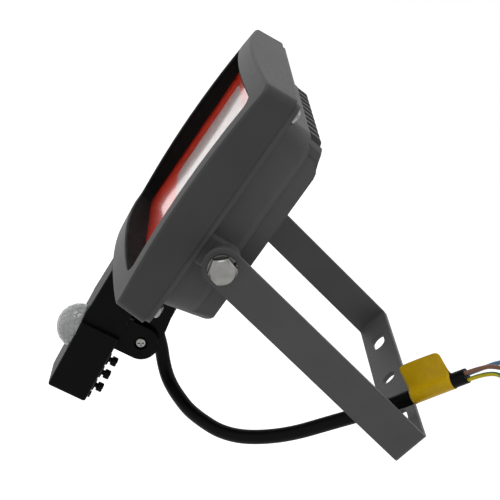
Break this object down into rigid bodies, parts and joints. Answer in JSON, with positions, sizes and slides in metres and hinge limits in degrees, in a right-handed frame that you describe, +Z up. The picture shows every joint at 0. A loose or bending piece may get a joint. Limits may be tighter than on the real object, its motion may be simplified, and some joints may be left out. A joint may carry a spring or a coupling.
{
  "type": "motion sensor floodlight",
  "caption": "Square flat floodlight with a finned cast body on a U-shaped wall bracket, a hinged motion sensor below and a short supply cable with bare cores.",
  "frame": {"origin": "centre of the wall bracket's back face, on the wall plane, midway between the two slots", "axes": "+Z up, the lamp looks along -Y and away from the wall, which is the plane y = 0; +X runs along the pivot axis towards the side the cable end lies on"},
  "size_m": [0.2014, 0.1948, 0.2167],
  "materials": {
    "anthracite_coat": "matt fine-texture powder coat",
    "black_rubber": "satin",
    "yellow_label": "gloss film",
    "brown_core": "satin",
    "blue_core": "satin",
    "green_yellow_core": "satin, two-coloured stripes",
    "clear_glass": "clear tempered",
    "red_mask": "printed red",
    "white_diffuser": "frosted",
    "white_board": "white solder mask",
    "led_yellow": "phosphor",
    "driver_case": "potted",
    "stainless_steel": "satin",
    "black_plastic": "fine satin",
    "black_gloss": "gloss",
    "milky_lens": "translucent milky",
    "metal_can": "plated",
    "green_board": "solder mask",
    "blue_trimmer": "gloss",
    "knob_black": "satin"
  },
  "bodies": {
    "bracket": {"mounting_bracket": "anthracite_coat", "supply_cable": "black_rubber", "cable_label": "yellow_label", "wire_brown": "brown_core", "wire_blue": "blue_core", "wire_green_yellow": "green_yellow_core"},
    "lamp": {"front_bezel": "anthracite_coat", "glass_gasket": "black_rubber", "front_glass": "clear_glass", "red_mask_plate": "red_mask", "diffuser_panel": "white_diffuser", "led_board": "white_board", "led_chips": "led_yellow", "driver_module": "driver_case", "rear_housing": "anthracite_coat", "bezel_screws": "stainless_steel", "pivot_bolts": "stainless_steel", "spring_washers": "stainless_steel", "pivot_washers": "stainless_steel", "cable_gland_body": "black_plastic", "cable_gland_nut": "black_plastic", "gland_seal": "black_rubber", "gland_lock_nut": "black_plastic", "sensor_bracket": "black_gloss", "sensor_lock_nut": "black_plastic"},
    "sensor": {"sensor_case": "black_plastic", "sensor_back_cover": "black_plastic", "dome_lens": "milky_lens", "pir_element": "metal_can", "sensor_board": "green_board", "potentiometers": "blue_trimmer", "cover_screws": "stainless_steel", "hinge_screw": "stainless_steel", "hinge_nut": "stainless_steel"},
    "daylight_dial": {"daylight_knob": "knob_black"},
    "time_dial": {"time_knob": "knob_black"},
    "sensitivity_dial": {"sensitivity_knob": "knob_black"}
  },
  "joints": [
    {"name": "lamp_tilt", "type": "hinge", "parent": "bracket", "child": "lamp", "pos_m": [0, -0.14, 0], "axis": [1, 0, 0], "range_deg": [-60, 60], "deforming": ["supply_cable"]},
    {"name": "sensor_tilt", "type": "hinge", "parent": "lamp", "child": "sensor", "pos_m": [0, -0.11925, -0.08248], "axis": [1, 0, 0], "range_deg": [-6, 50]},
    {"name": "daylight_turn", "type": "hinge", "parent": "sensor", "child": "daylight_dial", "pos_m": [0, -0.12438, -0.10612], "axis": [0, 0.9537, 0.3007], "range_deg": [-135, 135]},
    {"name": "time_turn", "type": "hinge", "parent": "sensor", "child": "time_dial", "pos_m": [0, -0.12167, -0.1147], "axis": [0, 0.9537, 0.3007], "range_deg": [-135, 135]},
    {"name": "sensitivity_turn", "type": "hinge", "parent": "sensor", "child": "sensitivity_dial", "pos_m": [0, -0.11897, -0.12329], "axis": [0, 0.9537, 0.3007], "range_deg": [-135, 135]}
  ]
}
